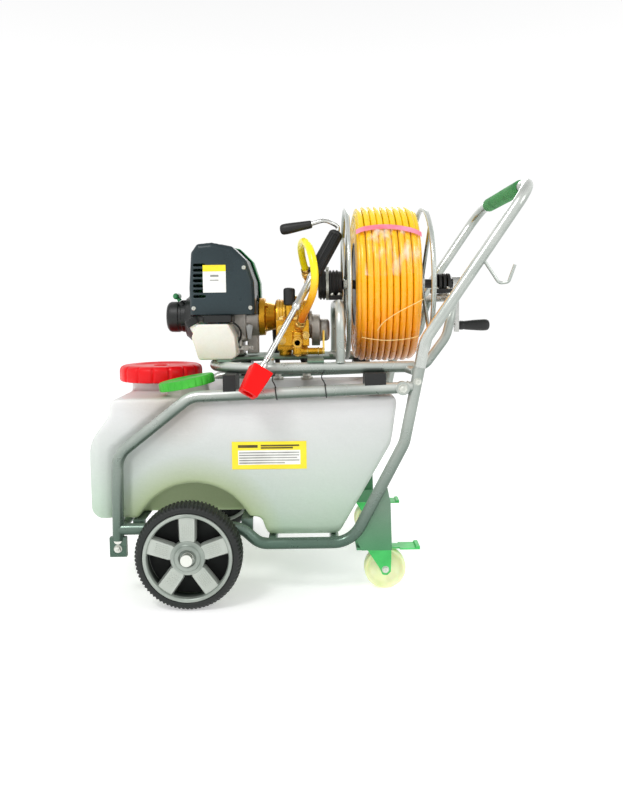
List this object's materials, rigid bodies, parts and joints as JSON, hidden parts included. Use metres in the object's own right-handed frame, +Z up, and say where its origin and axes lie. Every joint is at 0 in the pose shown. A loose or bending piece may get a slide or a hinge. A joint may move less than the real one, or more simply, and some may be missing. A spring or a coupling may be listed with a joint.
{
  "type": "wheeled sprayer cart",
  "caption": "Push cart carrying a spray liquid tank, an engine-driven pump and a wound hose reel on a tube frame with front wheels and swivel casters.",
  "frame": {"origin": "on the floor under the middle of the cart's box", "axes": "+X along the cart towards the push handle, +Y across the cart, +Z up"},
  "size_m": [0.8839, 0.562, 0.803],
  "materials": {
    "frame_paint": "silver-grey paint",
    "gusset_paint": "grey-green paint",
    "handle_chrome": "bright",
    "zinc": "zinc plated",
    "rim_metal": "silver paint",
    "tyre_rubber": "matt",
    "caster_paint": "green paint",
    "caster_nylon": "cream nylon",
    "grip_foam": "green foam",
    "tank_plastic": "translucent white polyethylene",
    "lid_plastic": "red",
    "cap_plastic": "green",
    "label_film": "printed film, blank bars",
    "shroud_plastic": "dark slate",
    "black_plastic": "black",
    "fuel_plastic": "white",
    "cast_alloy": "cast",
    "steel": "bare",
    "brass": "gold anodised and brass",
    "black_rubber": "black",
    "hose_yellow": "orange-yellow hose",
    "crank_steel": "bright steel and black grip",
    "nozzle_red": "red"
  },
  "bodies": {
    "frame": {"side_frame_left": "frame_paint", "side_frame_right": "frame_paint", "cross_tubes": "frame_paint", "wheel_axle": "zinc", "axle_brackets": "frame_paint", "caster_mounts": "gusset_paint", "platform_frame": "frame_paint", "platform_blocks": "black_rubber", "frame_bolts": "zinc", "tank": "tank_plastic", "tank_strainer": "tank_plastic", "labels": "label_film", "engine_shroud": "shroud_plastic", "shroud_back": "shroud_plastic", "crankcase": "cast_alloy", "cylinder": "cast_alloy", "fan_housing": "black_plastic", "recoil_starter": "black_plastic", "engine_fuel_tank": "fuel_plastic", "air_filter": "black_plastic", "muffler": "steel", "clutch_housing": "cast_alloy", "engine_mount": "gusset_paint", "pump_flange": "brass", "pump_crankcase": "brass", "pump_head": "brass", "air_dome": "cast_alloy", "outlet_nipple": "brass", "link_hose": "hose_yellow", "tank_hoses": "black_rubber", "reel_posts": "frame_paint", "reel_bearings": "black_rubber", "gun_body": "crank_steel", "gun_nozzle": "nozzle_red"},
    "front_wheel_left": {"wheel_rim_left": "rim_metal", "tyre_left": "tyre_rubber"},
    "caster_left": {"caster_fork_left": "caster_paint"},
    "caster_roller_left": {"caster_wheel_left": "caster_nylon"},
    "brake_left": {"brake_pedal_left": "caster_paint"},
    "front_wheel_right": {"wheel_rim_right": "rim_metal", "tyre_right": "tyre_rubber"},
    "caster_right": {"caster_fork_right": "caster_paint"},
    "caster_roller_right": {"caster_wheel_right": "caster_nylon"},
    "brake_right": {"brake_pedal_right": "caster_paint"},
    "handle": {"handle_tube": "handle_chrome", "handle_grip": "grip_foam"},
    "lid": {"tank_lid": "lid_plastic"},
    "small_cap": {"side_cap": "cap_plastic"},
    "petrol_cap": {"fuel_cap": "black_plastic"},
    "starter_pull": {"starter_grip": "black_plastic"},
    "throttle": {"throttle_lever": "steel"},
    "drive": {"drive_shaft": "steel"},
    "regulator": {"regulator_knob": "black_plastic"},
    "valve": {"valve_lever": "brass"},
    "reel": {"reel_drum": "black_plastic", "reel_hoops": "handle_chrome", "wound_hose": "hose_yellow", "crank_arm": "crank_steel"},
    "crank_knob": {"crank_grip": "black_rubber"},
    "gun_twist": {"gun_handle": "crank_steel"}
  },
  "joints": [
    {"name": "front_wheel_left_spin", "type": "hinge", "parent": "frame", "child": "front_wheel_left", "pos_m": [-0.223, -0.2455, 0.1], "axis": [0, 1, 0], "continuous": true},
    {"name": "caster_left_swivel", "type": "hinge", "parent": "frame", "child": "caster_left", "pos_m": [0.126, -0.163, 0.085], "axis": [0, 0, 1], "continuous": true},
    {"name": "caster_wheel_left_spin", "type": "hinge", "parent": "caster_left", "child": "caster_roller_left", "pos_m": [0.15, -0.163, 0.041], "axis": [0, 1, 0], "continuous": true},
    {"name": "brake_pedal_left_press", "type": "hinge", "parent": "caster_left", "child": "brake_left", "pos_m": [0.1645, -0.163, 0.0825], "axis": [0, 1, 0], "range_deg": [0, 12]},
    {"name": "front_wheel_right_spin", "type": "hinge", "parent": "frame", "child": "front_wheel_right", "pos_m": [-0.223, 0.2455, 0.1], "axis": [0, 1, 0], "continuous": true},
    {"name": "caster_right_swivel", "type": "hinge", "parent": "frame", "child": "caster_right", "pos_m": [0.126, 0.163, 0.085], "axis": [0, 0, 1], "continuous": true},
    {"name": "caster_wheel_right_spin", "type": "hinge", "parent": "caster_right", "child": "caster_roller_right", "pos_m": [0.15, 0.163, 0.041], "axis": [0, 1, 0], "continuous": true},
    {"name": "brake_pedal_right_press", "type": "hinge", "parent": "caster_right", "child": "brake_right", "pos_m": [0.1645, 0.163, 0.0825], "axis": [0, 1, 0], "range_deg": [0, 12]},
    {"name": "handle_height", "type": "slide", "parent": "frame", "child": "handle", "axis": [0.1988, 0, 0.98], "range_m": [0, 0.08]},
    {"name": "tank_lid_lift", "type": "slide", "parent": "frame", "child": "lid", "axis": [0, 0, 1], "range_m": [0, 0.022]},
    {"name": "side_cap_lift", "type": "slide", "parent": "frame", "child": "small_cap", "axis": [-0.1736, 0, 0.9848], "range_m": [0, 0.014]},
    {"name": "fuel_cap_lift", "type": "slide", "parent": "frame", "child": "petrol_cap", "axis": [-0.4789, 0, 0.8779], "range_m": [0, 0.02]},
    {"name": "starter_pull_out", "type": "slide", "parent": "frame", "child": "starter_pull", "axis": [-0.5, 0, 0.866], "range_m": [0, 0.45]},
    {"name": "throttle_turn", "type": "hinge", "parent": "frame", "child": "throttle", "pos_m": [-0.12, -0.048, 0.496], "axis": [0, 1, 0], "range_deg": [-20, 20]},
    {"name": "drive_shaft_spin", "type": "hinge", "parent": "frame", "child": "drive", "pos_m": [-0.1, 0, 0.538], "axis": [1, 0, 0], "continuous": true},
    {"name": "regulator_turn", "type": "hinge", "parent": "frame", "child": "regulator", "pos_m": [-0.034, -0.086, 0.58], "axis": [0, 0, 1], "range_deg": [-360, 360]},
    {"name": "outlet_valve_turn", "type": "hinge", "parent": "frame", "child": "valve", "pos_m": [0.034, -0.096, 0.468], "axis": [1, 0, 0], "range_deg": [0, 90]},
    {"name": "reel_spin", "type": "hinge", "parent": "frame", "child": "reel", "pos_m": [0.165, 0, 0.605], "axis": [1, 0, 0], "continuous": true},
    {"name": "crank_grip_spin", "type": "hinge", "parent": "reel", "child": "crank_knob", "pos_m": [0.36, 0, 0.514], "axis": [1, 0, 0], "continuous": true},
    {"name": "gun_handle_twist", "type": "hinge", "parent": "frame", "child": "gun_twist", "pos_m": [0.064, -0.1, 0.706], "axis": [0.4504, 0.3956, 0.8004], "range_deg": [0, 90]}
  ]
}
